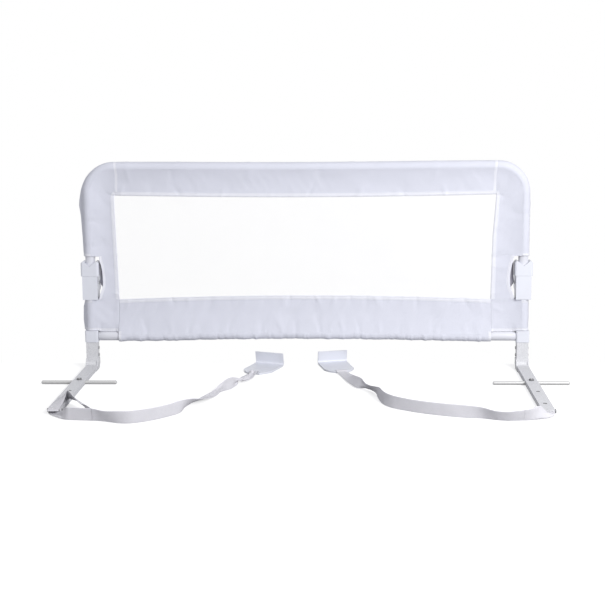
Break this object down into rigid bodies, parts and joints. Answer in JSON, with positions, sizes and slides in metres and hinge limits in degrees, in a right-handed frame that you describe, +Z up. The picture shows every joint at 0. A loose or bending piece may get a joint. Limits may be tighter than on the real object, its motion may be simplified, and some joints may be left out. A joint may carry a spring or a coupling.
{
  "type": "folding bed guard rail",
  "caption": "Fold-down safety rail for a child's bed: cloth-covered tube frame with a mesh window on hinged posts, steel arms that go under the mattress, and anchor straps.",
  "frame": {"origin": "on the floor, at the centre of the rail's length and of its depth, without straps and anchors", "axes": "+X along the rail, +Y away from the mattress, +Z up; the arms point to -Y"},
  "size_m": [1.132, 0.5123, 0.4683],
  "materials": {
    "powder_coat": "white powder coat, satin",
    "white_plastic": "moulded, fine texture",
    "zinc_steel": "zinc plated",
    "dark_steel": "dark zinc plated",
    "polyester": "woven polyester cloth",
    "webbing": "woven webbing",
    "mesh": "fine knitted mesh"
  },
  "bodies": {
    "base": {"bottom_rail": "powder_coat", "bottom_cover": "polyester", "lower_window_mesh": "mesh", "lower_side_cover_left": "polyester", "lower_post_left": "powder_coat", "corner_connector_left": "white_plastic", "connector_screw_left": "zinc_steel", "hinge_body_left": "white_plastic", "hinge_body_screw_left": "zinc_steel", "hinge_pin_left": "dark_steel", "arm_left": "powder_coat", "cross_rod_left": "zinc_steel", "rod_bolt_left": "zinc_steel", "strap_pin_left": "dark_steel", "strap_left": "webbing", "anchor_plate_left": "white_plastic", "arm_rivet_left_1": "dark_steel", "arm_rivet_left_2": "dark_steel", "lower_side_cover_right": "polyester", "lower_post_right": "powder_coat", "corner_connector_right": "white_plastic", "connector_screw_right": "zinc_steel", "hinge_body_right": "white_plastic", "hinge_body_screw_right": "zinc_steel", "hinge_pin_right": "dark_steel", "arm_right": "powder_coat", "cross_rod_right": "zinc_steel", "rod_bolt_right": "zinc_steel", "strap_pin_right": "dark_steel", "strap_right": "webbing", "anchor_plate_right": "white_plastic", "arm_rivet_right_1": "dark_steel", "arm_rivet_right_2": "dark_steel"},
    "guard": {"top_tube": "powder_coat", "top_cover": "polyester", "upper_window_mesh": "mesh", "hinge_knuckle_left": "white_plastic", "knuckle_pin_left": "zinc_steel", "upper_side_cover_left": "polyester", "hinge_knuckle_right": "white_plastic", "knuckle_pin_right": "zinc_steel", "upper_side_cover_right": "polyester"},
    "lock_left": {"lock_sleeve_left": "white_plastic"},
    "lock_right": {"lock_sleeve_right": "white_plastic"}
  },
  "joints": [
    {"name": "guard_fold", "type": "hinge", "parent": "base", "child": "guard", "pos_m": [0, 0.19395, 0.194], "axis": [-1, 0, 0], "range_deg": [0, 170]},
    {"name": "lock_left_slide", "type": "slide", "parent": "guard", "child": "lock_left", "axis": [0, 0, 1], "range_m": [0, 0.01]},
    {"name": "lock_right_slide", "type": "slide", "parent": "guard", "child": "lock_right", "axis": [0, 0, 1], "range_m": [0, 0.01]}
  ]
}
